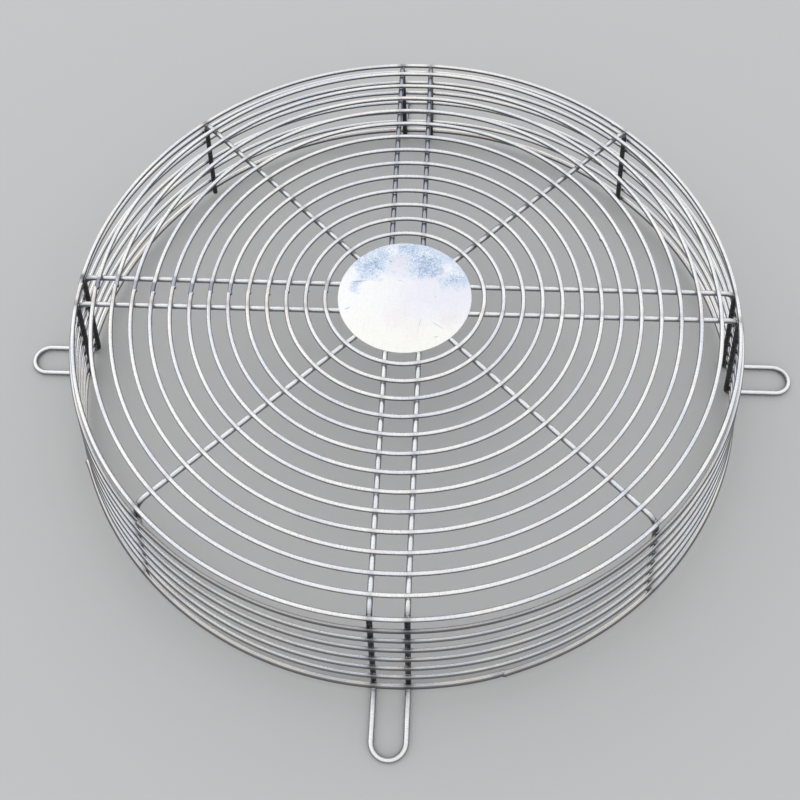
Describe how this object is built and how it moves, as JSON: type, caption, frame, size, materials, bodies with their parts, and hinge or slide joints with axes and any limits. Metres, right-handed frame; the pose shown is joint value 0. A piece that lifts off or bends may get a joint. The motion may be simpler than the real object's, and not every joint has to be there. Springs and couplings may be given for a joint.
{
  "type": "wire fan guard",
  "caption": "Round guard for an axial fan: concentric welded wire rings make a flat face and a flared wall, with a plain hub disc and bent wire loops for mounting",
  "frame": {"origin": "On the guard's axis, in the plane on which the four mounting loops rest", "axes": "+Z runs out of the face, away from the fan. The mounting loops lie along +X, -X, +Y and -Y."},
  "size_m": [0.5676, 0.5676, 0.098],
  "materials": {
    "ring_wire": "bright plated steel wire, lightly drawn along its length",
    "frame_wire": "bright plated steel wire, with dull patches at its bends and welds",
    "base_wire": "bright plated steel wire, slightly warmer and duller than the rings",
    "hub_plate": "plated sheet steel, softly mottled, with fine scratches"
  },
  "bodies": {
    "root": {"hub_disc": "hub_plate", "rim_ring": "ring_wire", "base_ring": "base_wire", "face_ring_1": "ring_wire", "face_ring_2": "ring_wire", "face_ring_3": "ring_wire", "face_ring_4": "ring_wire", "face_ring_5": "ring_wire", "face_ring_6": "ring_wire", "face_ring_7": "ring_wire", "face_ring_8": "ring_wire", "face_ring_9": "ring_wire", "face_ring_10": "ring_wire", "face_ring_11": "ring_wire", "face_ring_12": "ring_wire", "face_ring_13": "ring_wire", "wall_ring_1": "ring_wire", "wall_ring_2": "ring_wire", "wall_ring_3": "ring_wire", "wall_ring_4": "ring_wire", "wall_ring_5": "ring_wire", "wall_ring_6": "ring_wire", "mount_wire_right": "frame_wire", "mount_wire_back": "frame_wire", "mount_wire_left": "frame_wire", "mount_wire_front": "frame_wire", "rib_wire_back_right": "frame_wire", "rib_wire_back_left": "frame_wire", "rib_wire_front_left": "frame_wire", "rib_wire_front_right": "frame_wire"}
  },
  "joints": []
}
